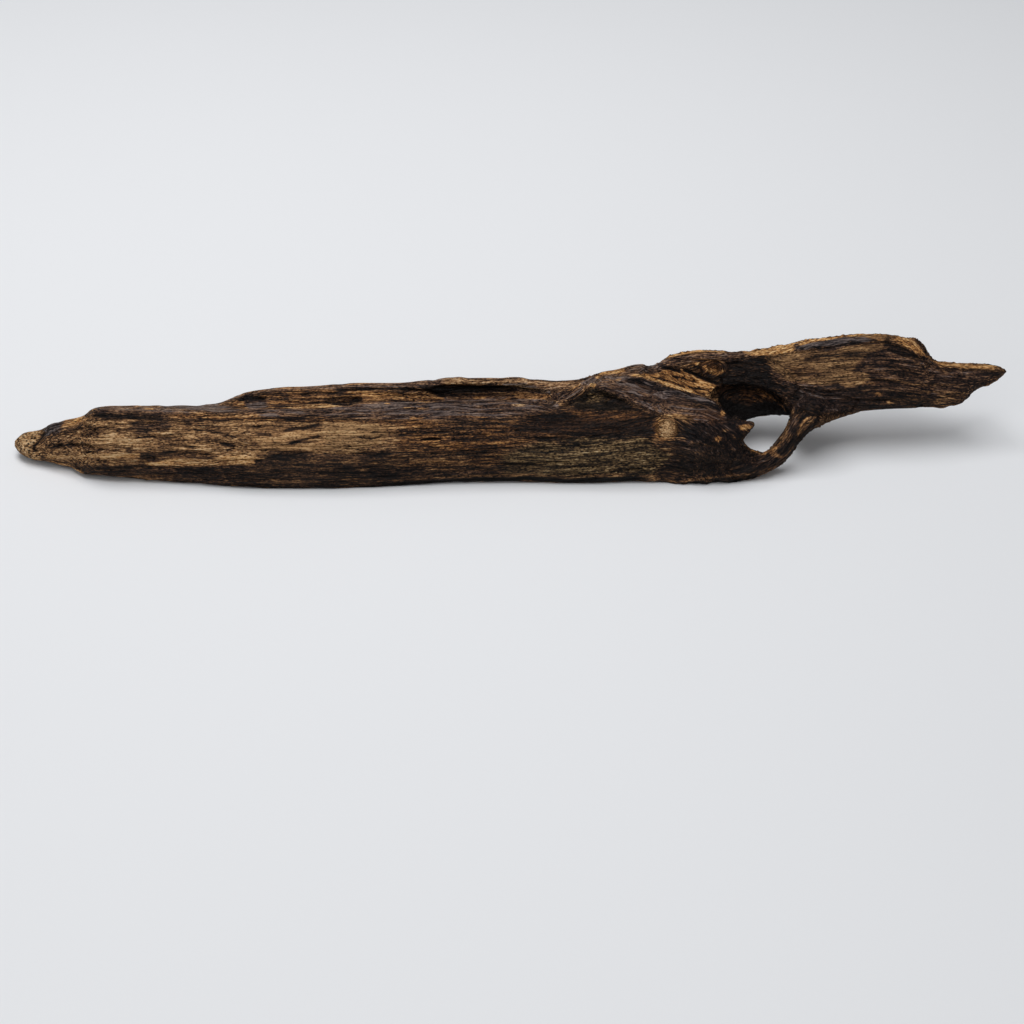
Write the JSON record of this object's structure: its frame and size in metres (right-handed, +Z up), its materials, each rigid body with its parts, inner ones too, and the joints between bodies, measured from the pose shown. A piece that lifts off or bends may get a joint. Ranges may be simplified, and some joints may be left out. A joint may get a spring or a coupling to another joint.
{
  "type": "agarwood piece",
  "caption": "Long piece of dark weathered agarwood, forked at one end into limbs that meet again round an eye-shaped hole, lying on its flat underside.",
  "frame": {"origin": "middle of the bounding box's bottom face, on the surface that the piece lies on", "axes": "+X along the piece from its blunt pale end to the pointed limb, +Y from the front face to the back, +Z up"},
  "size_m": [0.3003, 0.0395, 0.0352],
  "materials": {
    "trunk_wood": "weathered bare wood, tan and dark brown streaks along the grain, faint sheen on worn ridges",
    "upper_limb_wood": "weathered bare wood, grey-tan patches on dark brown",
    "lower_limb_wood": "weathered bare wood, resin-dark brown"
  },
  "bodies": {
    "root": {"trunk": "trunk_wood", "upper_limb": "upper_limb_wood", "lower_limb": "lower_limb_wood"}
  },
  "joints": []
}
